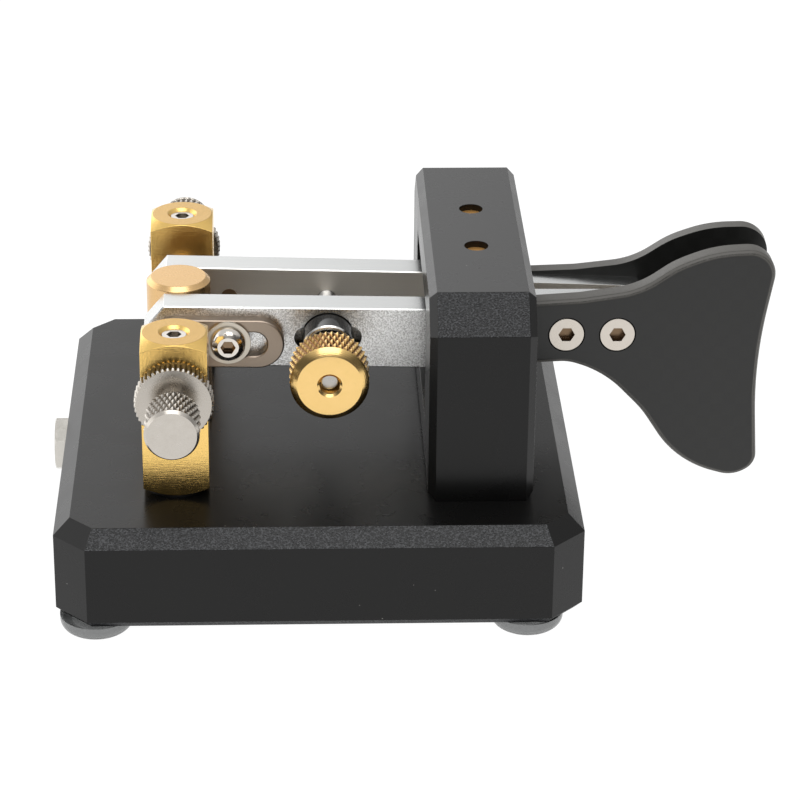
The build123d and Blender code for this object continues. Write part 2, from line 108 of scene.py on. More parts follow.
def lever_frame(side, splay_deg):
    """The frame that part of a lever is straight in; side is 1 for the front lever and -1 for the rear."""
    name = "front_lever_pivot" if side > 0 else "rear_lever_pivot"
    pivot = Matrix.Translation(Vector(JOINTS[name]["pos_m"]))
    droop = Matrix.Rotation(math.radians(DROOP_DEG), 4, "Y")
    splay = Matrix.Rotation(math.radians(splay_deg * side), 4, "Z")
    return pivot @ droop @ splay


# ------------------------------------------------------------------ shader helpers


class Look:
    """A material under construction: one Principled shader and the nodes that feed it."""

    def __init__(self, name):
        self.material = bpy.data.materials.new(name)
        self.material.use_nodes = True
        self.tree = self.material.node_tree
        self.shader = self.tree.nodes["Principled BSDF"]
        self.texture = self.tree.nodes.new("ShaderNodeTexCoord")
        self.place = self.texture.outputs["Object"]
        self.facing = self.texture.outputs["Normal"]

    def put(self, socket, value):
        if isinstance(value, bpy.types.NodeSocket):
            self.tree.links.new(value, socket)
        else:
            socket.default_value = value

    def set(self, **values):
        for key, value in values.items():
            self.put(self.shader.inputs[key.replace("_", " ")], value)

    def make(self, kind, settings=None, **values):
        node = self.tree.nodes.new(kind)
        for key, value in (settings or {}).items():
            setattr(node, key, value)
        for key, value in values.items():
            self.put(node.inputs[key.replace("_", " ")], value)
        return node

    def math(self, operation, first, second=0.5):
        node = self.tree.nodes.new("ShaderNodeMath")
        node.operation = operation
        for socket, value in zip(node.inputs, (first, second)):
            self.put(socket, value)
        return node.outputs[0]

    def split(self, vector):
        return self.make("ShaderNodeSeparateXYZ", Vector=vector).outputs

    def stretched(self, scale):
        """Object coordinates times scale, for features longer one way than another."""
        return self.make("ShaderNodeMapping", Vector=self.place, Scale=scale).outputs[0]

    def noise(self, size_mm, detail=2.0, roughness=0.5, stretch=(1, 1, 1)):
        vector = self.stretched(tuple(s / (size_mm * MM) for s in stretch))
        node = self.make("ShaderNodeTexNoise", Vector=vector, Scale=1.0, Detail=detail, Roughness=roughness)
        return node.outputs["Fac"]

    def fit(self, value, low, high, to_low=0.0, to_high=1.0):
        node = self.make("ShaderNodeMapRange", {"clamp": True}, Value=value)
        ends = {"From Min": low, "From Max": high, "To Min": to_low, "To Max": to_high}
        for key, number in ends.items():
            self.put(node.inputs[key], number)
        return node.outputs["Result"]

    def mix(self, factor, first, second):
        node = self.make("ShaderNodeMix", {"data_type": "RGBA"})
        self.put(node.inputs["Factor"], factor)
        self.put(node.inputs["A"], colour(first))
        self.put(node.inputs["B"], colour(second))
        return node.outputs["Result"]

    def blend(self, factor, first, second):
        node = self.make("ShaderNodeMix", {"data_type": "FLOAT"})
        for key, value in (("Factor", factor), ("A", first), ("B", second)):
            self.put(node.inputs[key], value)
        return node.outputs["Result"]

    def bump(self, height, depth_mm, below=None):
        node = self.make("ShaderNodeBump", Height=height, Distance=depth_mm * MM, Strength=1.0)
        if below is not None:
            self.put(node.inputs["Normal"], below)
        return node.outputs["Normal"]

    def length(self, first, second):
        """Length of the flat vector with these two parts."""
        squares = [self.math("MULTIPLY", value, value) for value in (first, second)]
        return self.math("SQRT", self.math("ADD", *squares))

    def distance_xz(self, centre_mm):
        """Distance from a line along Y through (centre_mm, 0, 0) of the object's frame, in metres."""
        x, _, z = self.split(self.place)
        return self.length(self.math("SUBTRACT", x, centre_mm * MM), z)

    def radius(self):
        """Distance from the object's own Z axis, in metres."""
        x, y, _ = self.split(self.place)
        return self.length(x, y)

    def upward(self):
        """1 on faces that look up."""
        return self.fit(self.split(self.facing)[2], *UPWARD)

    def rings(self, spacing_mm):
        """Ripples round the object's own Z axis, as a lathe leaves."""
        return self.math("SINE", self.math("MULTIPLY", self.radius(), 2 * math.pi / (spacing_mm * MM)))

    def rough(self, cloud, low, spread=0.08):
        """Roughness that drifts with a cloud from low to low plus spread."""
        return self.fit(cloud, *NOISE_MIDDLE, low, low + spread)


def colour(value):
    """A socket as it is, or a tint with full alpha."""
    if isinstance(value, bpy.types.NodeSocket):
        return value
    return (*value, 1.0)


def scaled(tint, red, green, blue):
    """A tint with each channel multiplied."""
    r, g, b = tint
    return (r * red, g * green, b * blue)


def dust(look, cell_mm=4.0, size=0.035):
    """Sparse pale specks, as on any black part under a lamp."""
    bare_share = 0.45
    vector = look.stretched((1 / (cell_mm * MM),) * 3)
    cells = look.make("ShaderNodeTexVoronoi", {"feature": "F1"}, Vector=vector, Scale=1.0, Randomness=1.0)
    near = look.fit(cells.outputs["Distance"], size * 0.5, size, 1.0, 0.0)
    tint = look.split(cells.outputs["Color"])[0]
    return look.math("MULTIPLY", near, look.math("GREATER_THAN", tint, bare_share))


# ------------------------------------------------------------------ materials


def groove_shade(look, radius_mm, start_mm, end_mm):
    """1 at the bottom of a knurl's grooves, falling to 0 at its crests and off the knurled band: where
    painted shade darkens the grooves.
    """
    # depths under the crests at which grime is full and none, and at which the knurl's own metal ends
    root, crest, floor = 0.32, 0.12, 0.5
    low = look.fit(look.radius(), (radius_mm - root) * MM, (radius_mm - crest) * MM, 1.0, 0.0)
    knurled = look.math("GREATER_THAN", look.radius(), (radius_mm - floor) * MM)
    height = look.split(look.place)[2]
    after = look.math("GREATER_THAN", height, start_mm * MM)
    before = look.math("LESS_THAN", height, end_mm * MM)
    band = look.math("MULTIPLY", after, before)
    return look.math("MULTIPLY", low, look.math("MULTIPLY", knurled, band))


def black_anodised(name, reflectance, slope_grain_mm, painted_top_light=0.0):
    """Black anodised aluminium: satin all over, with a coarse grain on front and rear slopes whose pale
    crests are painted glints.
    """
    black, dust_tint = (0.0045, 0.0045, 0.0045), (0.35, 0.34, 0.32)
    pit, crest = (0.006, 0.0065, 0.007), (0.066, 0.068, 0.073)
    satin_depth = 0.0016
    look = Look(name)
    _, y, z = [look.math("ABSOLUTE", value) for value in look.split(look.facing)]
    slope = look.math("MULTIPLY", look.fit(y, *SLOPING), look.fit(z, *SLOPING))
    grain = look.noise(0.22, detail=2.0, roughness=0.6, stretch=(0.75, 1, 1))
    satin = look.noise(0.10, detail=2.0, roughness=0.6)
    coarse = look.math("MULTIPLY", grain, look.math("MULTIPLY", slope, slope_grain_mm))
    height = look.math("ADD", coarse, look.math("MULTIPLY", satin, satin_depth))
    cloud = look.noise(9.0, detail=3.0, roughness=0.6)
    tint = look.mix(cloud, scaled(black, 1.0, 1.0, 0.98), scaled(black, 1.6, 1.57, 1.5))
    # the slopes' grain is real relief, but its pale crests are painted glints, a painted highlight
    blasted = look.mix(look.fit(grain, 0.47, 0.63), pit, crest)
    tint = look.mix(slope, tint, blasted)
    # upward faces painted paler: a painted highlight from the light above
    if painted_top_light:
        lit_top = look.mix(cloud, (painted_top_light * 0.9,) * 3, (painted_top_light * 1.1,) * 3)
        tint = look.mix(look.upward(), tint, lit_top)
    tint = look.mix(look.math("MULTIPLY", dust(look), 0.6), tint, dust_tint)
    rough = look.blend(slope, look.rough(cloud, 0.25, 0.06), 0.20)
    # the bevel round the underside is dull from handling
    under = look.fit(look.split(look.facing)[2], -0.6, -0.3, 1.0, 0.0)
    look.set(Base_Color=tint, Roughness=look.blend(under, rough, 0.5), Normal=look.bump(height, 1.0),
             Specular_IOR_Level=look.blend(under, reflectance, reflectance * 0.35))
    return look.material


def blasted_aluminium(name, outward):
    """Clear anodised lever: blasted outer side, finely milled top, smooth darker inner side whose tint is
    painted lighter, standing in for the light that falls between the levers.
    """
    pit, crest = (0.54, 0.53, 0.515), (1.0, 1.0, 0.985)
    top_dark, top_light = (0.68, 0.69, 0.685), (0.80, 0.81, 0.805)
    lit_inner_dark, lit_inner_light = (0.86, 0.83, 0.78), (0.94, 0.91, 0.86)
    look = Look(name)
    _, y, _ = look.split(look.facing)
    outer = look.fit(look.math("MULTIPLY", y, outward), *SIDEWAYS)
    inner = look.fit(look.math("MULTIPLY", y, -outward), *SIDEWAYS)
    grain = look.noise(0.19, detail=2.0, roughness=0.6)
    milled = look.noise(0.5, detail=4.0, roughness=0.65, stretch=(0.03, 1.6, 1.6))
    blasted = look.bump(look.math("MULTIPLY", grain, outer), 0.04)
    height = look.math("MULTIPLY", milled, look.math("SUBTRACT", 1.0, outer))
    normal = look.bump(height, 0.004, below=blasted)
    side = look.mix(look.fit(grain, 0.40, 0.58), pit, crest)
    plain = look.mix(milled, top_dark, top_light)
    # the inner side's lighter tint is painted light, for the light that falls between the levers
    plain = look.mix(inner, plain, look.mix(milled, lit_inner_dark, lit_inner_light))
    look.set(Base_Color=look.mix(outer, plain, side), Metallic=1.0,
             Roughness=look.blend(outer, look.blend(inner, 0.25, 0.42), 0.30), Normal=normal)
    return look.material


def brass(name, tint, rough, turned=False, scratch=0.010, knurl_mm=None):
    """Bright brass: milled lines across flats, or rings round the axis on turned parts."""
    look = Look(name)
    if turned:
        fine = look.noise(0.30, detail=3.0, roughness=0.7)
        ripple = look.math("MULTIPLY", look.rings(0.22), 0.22)
        height = look.math("ADD", ripple, look.math("MULTIPLY", fine, 0.6))
    else:
        across = look.noise(0.30, detail=4.0, roughness=0.75, stretch=(0.12, 0.12, 1.5))
        upright = look.noise(0.34, detail=3.0, roughness=0.75, stretch=(1.5, 1.5, 0.16))
        height = look.math("ADD", across, look.math("MULTIPLY", upright, 1.1))
    cloud = look.noise(2.2, detail=4.0, roughness=0.62)
    stain = look.fit(look.noise(0.9, detail=5.0, roughness=0.75), 0.60, 0.78)
    red, green, blue = scaled(tint, 1.05, 1.05, 1.12)
    clean = look.mix(cloud, scaled(tint, 0.93, 0.92, 0.86), (min(red, 0.97), green, blue))
    shade = look.mix(look.math("MULTIPLY", stain, 0.45), clean, scaled(tint, 0.62, 0.52, 0.45))
    if knurl_mm:
        # painted shade at the bottom of the knurl's grooves
        shade = look.mix(groove_shade(look, *knurl_mm), shade, scaled(tint, 0.34, 0.24, 0.15))
    if not turned:
        # the sawn and face-milled top is duller than the milled sides, and its colour is painted darker as
        # painted shade for the dim ceiling it reflects
        shaded_top = look.mix(cloud, scaled(tint, 0.66, 0.62, 0.66), scaled(tint, 0.8, 0.76, 0.8))
        shade = look.mix(look.upward(), shade, shaded_top)
    look.set(Base_Color=shade, Metallic=1.0, Normal=look.bump(height, scratch),
             Roughness=look.rough(cloud, rough))
    return look.material


def plated(name, tint, rough, turned=False, depth=0.006, knurl_mm=None,
           sockets_mm=(), head_face_mm=0.0, outward=-1.0):
    """Plated or bare bright steel, with fine turning or rolling marks. knurl_mm is the radius, start and
    end of a knurl whose grooves are painted dark as shade. sockets_mm are the places along X of
    hexagon sockets painted dark as shade, and head_face_mm is how far their screw heads reach along Y times
    outward."""
    look = Look(name)
    if turned:
        ripple = look.math("MULTIPLY", look.rings(0.16), 0.2)
        height = look.math("ADD", ripple, look.noise(0.2, detail=3.0, roughness=0.7))
    else:
        height = look.noise(0.25, detail=4.0, roughness=0.7)
    cloud = look.noise(1.6, detail=4.0, roughness=0.65)
    shade = look.mix(cloud, scaled(tint, 0.86, 0.85, 0.83), scaled(tint, 1.06, 1.06, 1.06))
    specks = look.fit(look.noise(0.45, detail=5.0, roughness=0.8), 0.66, 0.76)
    shade = look.mix(look.math("MULTIPLY", specks, 0.5), shade, scaled(tint, 0.35, 0.32, 0.3))
    if knurl_mm:
        # painted shade at the bottom of the knurl's grooves
        shade = look.mix(groove_shade(look, *knurl_mm), shade, scaled(tint, 0.30, 0.27, 0.23))
    # painted shade in the hexagon sockets, below the heads' faces
    if sockets_mm:
        near = [look.math("LESS_THAN", look.distance_xz(centre), SOCKET_MM * MM) for centre in sockets_mm]
        reach = look.math("MULTIPLY", look.split(look.place)[1], outward)
        sunk = look.math("LESS_THAN", reach, (head_face_mm - SOCKET_LIP_MM) * MM)
        socket_shade = look.math("MULTIPLY", look.math("MAXIMUM", near[0], near[-1]), sunk)
        shade = look.mix(socket_shade, shade, scaled(tint, 0.30, 0.22, 0.15))
    look.set(Base_Color=shade, Metallic=1.0, Normal=look.bump(height, depth),
             Roughness=look.rough(cloud, rough))
    return look.material


def carbon_laminate(name):
    """Woven carbon plate: plain weave on the faces, thin plies showing round the edge."""
    ply_pale, ply_dark, frayed = (0.115, 0.110, 0.100), (0.012, 0.011, 0.010), (0.13, 0.125, 0.115)
    tow_first, tow_second = (0.0145, 0.0145, 0.0135), (0.0165, 0.0165, 0.0155)
    tow_shade = (0.013, 0.013, 0.012)
    hole_shade, dust_tint = (0.004, 0.004, 0.004), (0.4, 0.4, 0.38)
    look = Look(name)
    x, y, z = look.split(look.place)
    _, facing_y, _ = look.split(look.facing)
    face = look.fit(look.math("ABSOLUTE", facing_y), *FLAT_ON)
    along = look.math("MULTIPLY", x, 1 / (TOW_MM * MM))
    across = look.math("MULTIPLY", z, 1 / (TOW_MM * MM))
    # the tow on top changes at each crossing, as on a chessboard
    crossing = look.math("ADD", look.math("FLOOR", along), look.math("FLOOR", across))
    over = look.math("GREATER_THAN", look.math("FRACT", look.math("MULTIPLY", crossing, 0.5)), 0.25)
    holes = [look.math("LESS_THAN", look.distance_xz(centre), HOLE_MM * MM) for centre in FINGER_SCREWS_MM]
    hole = look.math("MAXIMUM", *holes)
    off_middle = [look.math("SUBTRACT", look.math("FRACT", value), 0.5) for value in (across, along)]
    crown = look.blend(over, *[look.math("ABSOLUTE", value) for value in off_middle])
    threads = look.blend(over, look.noise(0.25, stretch=(0.1, 1, 1)), look.noise(0.25, stretch=(1, 1, 0.1)))
    weave = look.math("ADD", look.math("MULTIPLY", crown, -0.18), look.math("MULTIPLY", threads, 0.12))
    cloud = look.noise(5.0, detail=3.0, roughness=0.6)
    woven = look.mix(over, tow_first, tow_second)
    woven = look.mix(look.math("MULTIPLY", cloud, 0.4), woven, tow_shade)
    ply = look.math("FRACT", look.math("MULTIPLY", y, 1 / (PLY_MM * MM)))
    line = look.fit(look.math("ABSOLUTE", look.math("SUBTRACT", ply, 0.5)), 0.30, 0.46)
    fray = look.noise(0.35, detail=4.0, roughness=0.75, stretch=(1.0, 3.0, 1.0))
    line = look.math("MULTIPLY", line, look.fit(fray, 0.35, 0.6))
    edge = look.mix(line, ply_pale, ply_dark)
    edge = look.mix(look.math("MULTIPLY", fray, 0.35), edge, frayed)
    # the screw holes' walls are painted near-black: painted shade in the recesses
    edge = look.mix(hole, edge, hole_shade)
    pale = look.math("MULTIPLY", dust(look, 6.0, 0.03), 0.5)
    shade = look.mix(pale, look.mix(face, edge, woven), dust_tint)
    look.set(Base_Color=shade, Specular_IOR_Level=look.blend(face, 0.4, 0.45),
             Roughness=look.blend(face, 0.46, look.blend(over, 0.32, 0.35)),
             Normal=look.bump(look.blend(face, fray, weave), 0.010))
    return look.material


def moulded(name, tint, rough):
    """Moulded or dipped plastic with a fine skin."""
    look = Look(name)
    skin = look.noise(0.18, detail=3.0, roughness=0.6)
    cloud = look.noise(3.0, detail=3.0)
    look.set(Base_Color=look.mix(cloud, scaled(tint, 0.85, 0.85, 0.85), scaled(tint, 1.15, 1.15, 1.15)),
             Roughness=look.rough(cloud, rough), Normal=look.bump(skin, 0.006))
    return look.material


def clear_rubber(name):
    """Translucent soft foot, slightly cloudy."""
    look = Look(name)
    cloud = look.noise(2.5, detail=3.0)
    skin = look.noise(0.3, detail=3.0, roughness=0.6)
    look.set(Base_Color=look.mix(cloud, (0.13, 0.135, 0.135), (0.20, 0.205, 0.205)), Roughness=0.22, IOR=1.45,
             Transmission_Weight=0.45, Normal=look.bump(skin, 0.004))
    return look.material


def cup_lining(name):
    """Glossy black cup whose front rim is turned bare and bright."""
    look = Look(name)
    _, _, facing_out = look.split(look.facing)
    rim = look.fit(facing_out, *RIM)
    wear = look.noise(0.5, detail=4.0, roughness=0.7)
    bright = look.mix(wear, (0.70, 0.69, 0.66), (0.88, 0.87, 0.85))
    dark = look.mix(wear, (0.008, 0.008, 0.008), (0.016, 0.016, 0.016))
    look.set(Base_Color=look.mix(rim, dark, bright), Metallic=rim, Roughness=look.blend(rim, 0.10, 0.18),
             Normal=look.bump(wear, 0.003))
    return look.material


def floor_paper(name):
    """Plain pale sweep, lit evenly so that it stays white."""
    look = Look(name)
    fibre = look.noise(1.5, detail=3.0)
    look.set(Base_Color=look.mix(fibre, (0.08, 0.08, 0.08), (0.10, 0.10, 0.10)), Roughness=0.9,
             Specular_IOR_Level=0.0)
    look.put(look.shader.inputs["Emission Color"], (1.0, 1.0, 1.0, 1.0))
    look.put(look.shader.inputs["Emission Strength"], 1.0)
    return look.material


LOOKS = {
    "base": black_anodised("black_base", reflectance=0.28, slope_grain_mm=0.08),
    "bridge": black_anodised("black_bridge", reflectance=0.28, slope_grain_mm=0.11, painted_top_light=0.055),
    "front_lever": blasted_aluminium("blasted_front", outward=-1.0),
    "rear_lever": blasted_aluminium("blasted_rear", outward=1.0),
    "brass_milled": brass("brass_milled", tint=(0.90, 0.605, 0.195), rough=0.13, scratch=0.028),
    "brass_turned": brass("brass_turned", tint=(0.88, 0.60, 0.235), rough=0.15, turned=True, scratch=0.006,
                          knurl_mm=KNOB_KNURL_MM),
    "brass_post": brass("brass_rest_post", tint=(0.76, 0.50, 0.235), rough=0.22, turned=True, scratch=0.008),
    "brass_pivot": brass("brass_pivot", tint=(0.97, 0.60, 0.20), rough=0.60),
    "nickel": plated("nickel_satin", tint=(0.66, 0.61, 0.53), rough=0.28),
    "contact_plate": plated("contact_plate", tint=(0.41, 0.335, 0.27), rough=0.34, depth=0.012),
    "bright_nickel": plated("bright_nickel", tint=(0.64, 0.62, 0.58), rough=0.18),
    "contact_screw": plated("contact_screw", tint=(0.57, 0.535, 0.49), rough=0.20, turned=True, depth=0.004,
                            knurl_mm=SCREW_KNURL_MM),
    "lock_nut": plated("lock_nut", tint=(0.52, 0.485, 0.44), rough=0.24, turned=True, depth=0.005,
                       knurl_mm=NUT_KNURL_MM),
    "steel": plated("bright_steel", tint=(0.74, 0.71, 0.67), rough=0.13),
    "stud": plated("stud_steel", tint=(0.50, 0.485, 0.46), rough=0.26, depth=0.02),
    "spring": plated("spring_steel", tint=(0.55, 0.54, 0.52), rough=0.22),
    "silver": plated("silver", tint=(0.86, 0.85, 0.81), rough=0.16),
    "tinned": plated("tinned", tint=(0.72, 0.72, 0.70), rough=0.32),
    "black_steel": plated("black_steel", tint=(0.05, 0.05, 0.055), rough=0.34),
    "carbon": carbon_laminate("carbon_laminate"),
    "cup": cup_lining("cup_lining"),
    "black_plastic": moulded("black_plastic", tint=(0.016, 0.016, 0.017), rough=0.30),
    "wire": moulded("wire_insulation", tint=(0.30, 0.016, 0.014), rough=0.38),
    "rubber": clear_rubber("clear_rubber"),
}
for side, outward in (("front", -1.0), ("rear", 1.0)):
    LOOKS[f"{side}_finger_screw"] = plated(
        f"{side}_finger_screw", tint=(0.66, 0.61, 0.55), rough=0.26,
        sockets_mm=FINGER_SCREWS_MM, head_face_mm=FINGER_SCREW_FACE_MM, outward=outward)
    LOOKS[f"{side}_button_screw"] = plated(
        f"{side}_button_screw", tint=(0.74, 0.70, 0.65), rough=0.09,
        sockets_mm=(PLATE_SCREW_MM,), head_face_mm=PLATE_SCREW_FACE_MM, outward=outward)


# ------------------------------------------------------------------ mesh helpers

# Vertices closer than this are welded, faces flatter than this joined, edges sharper than this bevelled
WELD_M = 2e-6
FLAT_DEG = 0.6
BEVELLED_DEG = 28


def finish_piece(obj, node, look, sharp_deg=35.0, rides=True):
    """Give a new piece its material, its body and the CAD node that it stands for."""
    obj.data.materials.clear()
    obj.data.materials.append(LOOKS[look])
    for polygon in obj.data.polygons:
        polygon.use_smooth = True
    obj.data.set_sharp_from_angle(angle=math.radians(sharp_deg))
    if rides:
        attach(obj, BODY_OF[node])
    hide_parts(node)


def add_object(name, mesh, place):
    obj = bpy.data.objects.new(name, mesh)
    bpy.context.scene.collection.objects.link(obj)
    obj.matrix_world = place
    return obj


def refine(node, look, bevel_mm=0.0, place=Matrix.Identity(4)):
    """The CAD node's own shape, welded and with its edges broken, shown in place of the node.
    place is the frame that the piece's textures run along."""
    mesh = frame["nodes"][node].data.copy()
    mesh.name = f"{node}_shown"
    work = bmesh.new()
    work.from_mesh(mesh)
    bmesh.ops.remove_doubles(work, verts=work.verts, dist=WELD_M)
    bmesh.ops.dissolve_limit(work, angle_limit=math.radians(FLAT_DEG), verts=work.verts, edges=work.edges)
    work.transform(place.inverted())
    bmesh.ops.recalc_face_normals(work, faces=work.faces)
    work.to_mesh(mesh)
    work.free()
    for attribute in [a.name for a in mesh.attributes if a.name in ("custom_normal", "sharp_edge")]:
        mesh.attributes.remove(mesh.attributes[attribute])
    obj = add_object(f"{node}_shown", mesh, place)
    if bevel_mm:
        bevel = obj.modifiers.new("edges", "BEVEL")
        bevel.width = bevel_mm * MM
        bevel.segments = 2
        bevel.limit_method = "ANGLE"
        bevel.angle_limit = math.radians(BEVELLED_DEG)
        bevel.harden_normals = True
        bevel.use_clamp_overlap = True
    finish_piece(obj, node, look)


def turned_mesh(name, rings, segments, relief, closed=False):
    """Surface of revolution about Z. rings are (radius, height, share of relief) in millimetres;
    relief(angle, height) is added to the radius. closed joins the last ring to the first."""
    angles = np.arange(segments) * 2 * math.pi / segments
    verts, starts = [], []
    for radius, height, share in rings:
        starts.append(len(verts))
        if radius == 0:
            verts.append((0.0, 0.0, height * MM))
            continue
        radii = np.full(segments, radius)
        if share:
            radii = radii + share * relief(angles, height)
        verts += [(r * math.cos(a) * MM, r * math.sin(a) * MM, height * MM) for a, r in zip(angles, radii)]
    faces = []
    pairs = list(zip(range(len(rings) - 1), range(1, len(rings))))
    if closed:
        pairs.append((len(rings) - 1, 0))
    for low, high in pairs:
        a, b = starts[low], starts[high]
        for i in range(segments):
            j = (i + 1) % segments
            if rings[low][0] == 0:
                faces.append((a, b + j, b + i))
            elif rings[high][0] == 0:
                faces.append((a + i, a + j, b))
            else:
                faces.append((a + i, a + j, b + j, b + i))
    return outward_mesh(name, verts, faces)


def outward_mesh(name, verts, faces):
    """A mesh whose faces all point outwards."""
    mesh = bpy.data.meshes.new(name)
    mesh.from_pydata(verts, [], faces)
    mesh.update()
    work = bmesh.new()
    work.from_mesh(mesh)
    bmesh.ops.recalc_face_normals(work, faces=work.faces)
    work.to_mesh(mesh)
    work.free()
    return mesh


def from_whole(value):
    """Distance of each value from the nearest whole number."""
    return np.abs((value + 0.5) % 1.0 - 0.5)


def v_groove(value):
    """Profile across one V-groove at each whole number, with a narrow flat land between."""
    half_width = 0.46
    return np.clip(from_whole(value) / half_width, 0.0, 1.0)


def diamond_knurl(starts, axial_mm, depth_mm):
    """Two crossing sets of helical grooves; starts is their number round the part."""

    def relief(angles, height):
        turn = angles * starts / (2 * math.pi)
        crest = np.minimum(v_groove(turn + height / axial_mm), v_groove(turn - height / axial_mm))
        return -depth_mm * (1.0 - crest)

    return relief


def straight_knurl(teeth, depth_mm):
    """Flat-bottomed grooves along the part, with sloping sides."""
    half_floor, slope = 0.08, 0.30

    def relief(angles, height):
        gap = from_whole(angles * teeth / (2 * math.pi))
        return -depth_mm * (1.0 - np.clip((gap - half_floor) / slope, 0.0, 1.0))

    return relief


def thread(pitch_mm, depth_mm):
    """How deep a rolled right-hand thread cuts at each angle and height."""

    def relief(angles, height):
        turn = (height / pitch_mm - angles / (2 * math.pi)) % 1.0
        return -depth_mm * 0.5 * (1 - np.cos(2 * math.pi * turn))

    return relief


def spaced(first, last, step):
    """Values from first to last, about step apart."""
    count = max(2, int(round(abs(last - first) / step)) + 1)
    return list(np.linspace(first, last, count))


def along_y(x_mm, z_mm, outward):
    """Frame whose Z axis points along -Y (outward 1) or +Y (outward -1), on the given axis."""
    turn = Matrix.Rotation(math.radians(90 * outward), 4, "X")
    return Matrix.Translation(Vector((x_mm * MM, 0, z_mm * MM))) @ turn


def axis_of(node):
    """Where a part's axis along Y stands, as X and Z in millimetres."""
    low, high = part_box(node)
    return (low.x + high.x) / 2 / MM, (low.z + high.z) / 2 / MM


def y_span(node, outward):
    """How far out a part starts and ends, in millimetres towards its own side."""
    low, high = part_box(node)
    return sorted((-low.y * outward / MM, -high.y * outward / MM))


# ------------------------------------------------------------------ turned parts


def build_contact_screw(side):
    node = ("front" if side > 0 else "rear") + "_contact_screw"
    x, z = axis_of(node)
    inner, face = y_span(node, side)
    head_radius, head_length, neck, shaft, bore, bore_depth = 4.15, 7.95, 3.0, 1.97, 0.75, 2.0
    starts, steps_per_start = 29, 8
    back = face - head_length
    knurl = diamond_knurl(starts, axial_mm=2.4, depth_mm=0.38)
    rolled = thread(SCREW_PITCH_MM, depth_mm=0.30)
    rings = [
        (0.0, face - 0.06, 0),
        (head_radius - 1.1, face - 0.06, 0),
        (head_radius - 0.62, face, 0),
        (head_radius - 0.45, face - 0.02, 0),
        (head_radius - 0.06, face - 0.55, 0),
        (head_radius - 0.02, face - 0.68, 0.4),
    ]
    rings += [(head_radius, height, 1.0) for height in spaced(face - 0.80, back + 1.25, 0.13)]
    rings += [
        (head_radius - 0.05, back + 1.15, 0.6),
        (head_radius - 0.6, back + 0.6, 0.1),
        (neck, back + 0.04, 0),
        (neck - 0.2, back, 0),
        (shaft, back, 0),
    ]
    # the thread runs from under the head to the bored end
    rings += [(shaft, height, 1.0) for height in spaced(back - 0.1, inner + 0.3, SCREW_PITCH_MM / 8)]
    rings += [
        (shaft - 0.3, inner + 0.02, 0),
        (bore, inner, 0),
        (bore - 0.01, inner + bore_depth, 0),
        (0.0, inner + bore_depth, 0),
    ]

    def relief(angles, height):
        return knurl(angles, height) if height > back else rolled(angles, height)

    mesh = turned_mesh(node, rings, starts * steps_per_start, relief)
    obj = add_object(node + "_shown", mesh, along_y(x, z, side))
    finish_piece(obj, node, "contact_screw", sharp_deg=28)


def build_lock_nut(side):
    node = ("front" if side > 0 else "rear") + "_lock_nut"
    x, z = axis_of(node)
    seat, face = y_span(node, side)
    radius, bore, teeth, steps_per_tooth = 5.95, 2.0, 46, 10
    rings = [
        (bore, face - 0.35, 0),
        (bore + 0.35, face, 0),
        (radius - 0.34, face, 0),
        (radius - 0.30, face - 0.015, 0),
        (radius, face - 0.36, 0.9),
    ]
    rings += [(radius, height, 1.0) for height in spaced(face - 0.5, seat + 0.35, 0.4)]
    rings += [
        (radius, seat + 0.25, 1.0),
        (radius - 0.28, seat, 0),
        (bore + 0.3, seat, 0),
        (bore, seat + 0.3, 0),
    ]
    knurl = straight_knurl(teeth, depth_mm=0.34)
    mesh = turned_mesh(node, rings, teeth * steps_per_tooth, knurl, closed=True)
    obj = add_object(node + "_shown", mesh, along_y(x, z, side))
    finish_piece(obj, node, "lock_nut", sharp_deg=28)


def build_tension_knob():
    node = "tension_knob"
    x, z = axis_of(node)
    neck_end, face = y_span(node, 1)
    radius, grip_length, neck, bore = 6.05, 7.0, 2.9, 1.53
    starts, steps_per_start = 42, 8
    back = face - grip_length
    rings = [
        (bore, face - 0.30, 0),
        (bore + 0.38, face, 0),
        (radius - 1.25, face, 0),
        (radius - 1.13, face - 0.04, 0),
        (radius - 0.10, face - 1.03, 0),
        (radius - 0.02, face - 1.12, 0.5),
    ]
    rings += [(radius, height, 1.0) for height in spaced(face - 1.22, back + 0.35, 0.12)]
    rings += [
        (radius - 0.12, back + 0.22, 0.8),
        (radius - 0.5, back, 0),
        (neck + 0.2, back, 0),
        (neck, back - 0.15, 0),
        (neck, neck_end + 0.2, 0),
        (neck - 0.2, neck_end, 0),
        (bore, neck_end, 0),
    ]
    knurl = diamond_knurl(starts, axial_mm=2.75, depth_mm=0.42)
    mesh = turned_mesh(node, rings, starts * steps_per_start, knurl, closed=True)
    obj = add_object(node + "_shown", mesh, along_y(x, z, 1))
    finish_piece(obj, node, "brass_turned", sharp_deg=28)


def build_tension_stud():
    node = "tension_stud"
    x, z = axis_of(node)
    inner, outer = y_span(node, 1)
    radius, segments = 1.5, 48
    rings = [
        (0.0, outer - 0.05, 0),
        (radius - 0.42, outer, 0),
        (radius - 0.3, outer - 0.02, 0),
    ]
    rings += [(radius, height, 1.0) for height in spaced(outer - 0.3, inner + 0.3, STUD_PITCH_MM / 7)]
    rings += [(radius - 0.3, inner, 0), (0.0, inner, 0)]
    mesh = turned_mesh(node, rings, segments, thread(STUD_PITCH_MM, depth_mm=0.26))
    obj = add_object(node + "_shown", mesh, along_y(x, z, 1))
    finish_piece(obj, node, "stud", sharp_deg=50)


